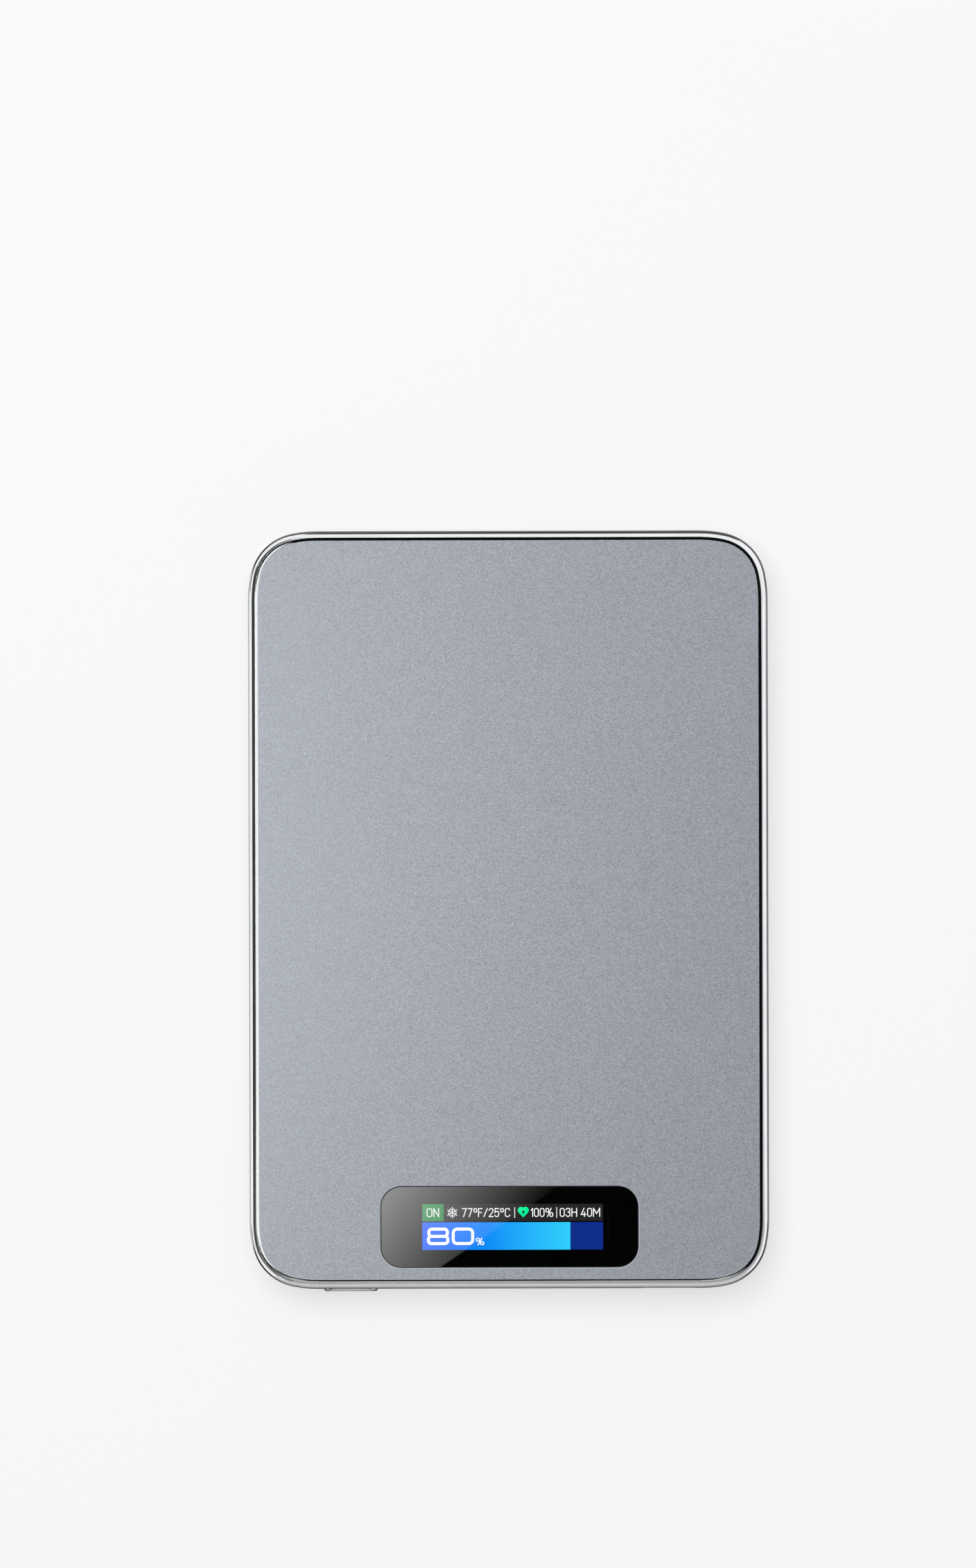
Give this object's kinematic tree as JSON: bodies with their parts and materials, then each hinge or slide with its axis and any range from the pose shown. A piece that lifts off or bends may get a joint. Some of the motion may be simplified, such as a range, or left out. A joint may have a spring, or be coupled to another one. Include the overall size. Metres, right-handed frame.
{
  "type": "slim power bank",
  "caption": "Slim magnetic power bank with a blasted metal face plate, polished frame, small display, power button and USB-C socket.",
  "frame": {"origin": "centre of the back face, which the part lies on", "axes": "+Z out of the face plate, +Y from the display end to the plain end, +X to the right of the display"},
  "size_m": [0.07, 0.1024, 0.0086],
  "materials": {
    "polished_frame": "mirror polished metal",
    "blasted_plate": "bead blasted and anodised",
    "black_tape": "adhesive tape",
    "display_glass": "black printed glass, polished",
    "clear_bond": "clear optical adhesive",
    "panel_glass": "display panel",
    "white_plastic": "moulded",
    "amber_film": "polyimide film",
    "black_plastic": "moulded",
    "soft_back": "soft-touch coating",
    "copper_wire": "enamelled copper",
    "ferrite": "sintered",
    "magnet_nickel": "nickel plated",
    "sheet_steel": "plain",
    "graphite": "rolled graphite film",
    "cell_foil": "laminated foil",
    "black_foam": "open-cell foam",
    "circuit_board": "solder mask",
    "nickel_strip": "plain",
    "tan_ceramic": "ceramic",
    "socket_steel": "bright stamped steel",
    "gold_plate": "gold plated",
    "polished_button": "mirror polished metal"
  },
  "bodies": {
    "case": {"frame": "polished_frame", "front_plate": "blasted_plate", "front_plate_tape": "black_tape", "display_lens": "display_glass", "lens_tape": "black_tape", "display_bond": "clear_bond", "display_panel": "panel_glass", "display_backlight": "white_plastic", "display_ribbon": "amber_film", "display_connector": "black_plastic", "back_cover": "soft_back", "back_cover_tape": "black_tape", "inner_frame": "black_plastic", "charging_coil": "copper_wire", "coil_leads": "copper_wire", "ferrite_sheet": "ferrite", "ring_magnets": "magnet_nickel", "magnet_yoke": "sheet_steel", "bar_magnet": "magnet_nickel", "graphite_sheet": "graphite", "battery_cell": "cell_foil", "cell_foam": "black_foam", "protection_board": "circuit_board", "temperature_sensor": "black_plastic", "battery_tabs": "nickel_strip", "main_board": "circuit_board", "board_screws": "sheet_steel", "power_inductors": "ferrite", "control_chips": "black_plastic", "capacitors": "tan_ceramic", "socket_shell": "socket_steel", "socket_tongue": "black_plastic", "socket_contacts": "gold_plate", "switch_body": "black_plastic"},
    "button": {"power_button": "polished_button", "switch_plunger": "white_plastic"}
  },
  "joints": [
    {"name": "power_button_press", "type": "slide", "parent": "case", "child": "button", "axis": [0, 1, 0], "range_m": [0, 0.00025], "stiffness_N_per_m": 6400}
  ]
}
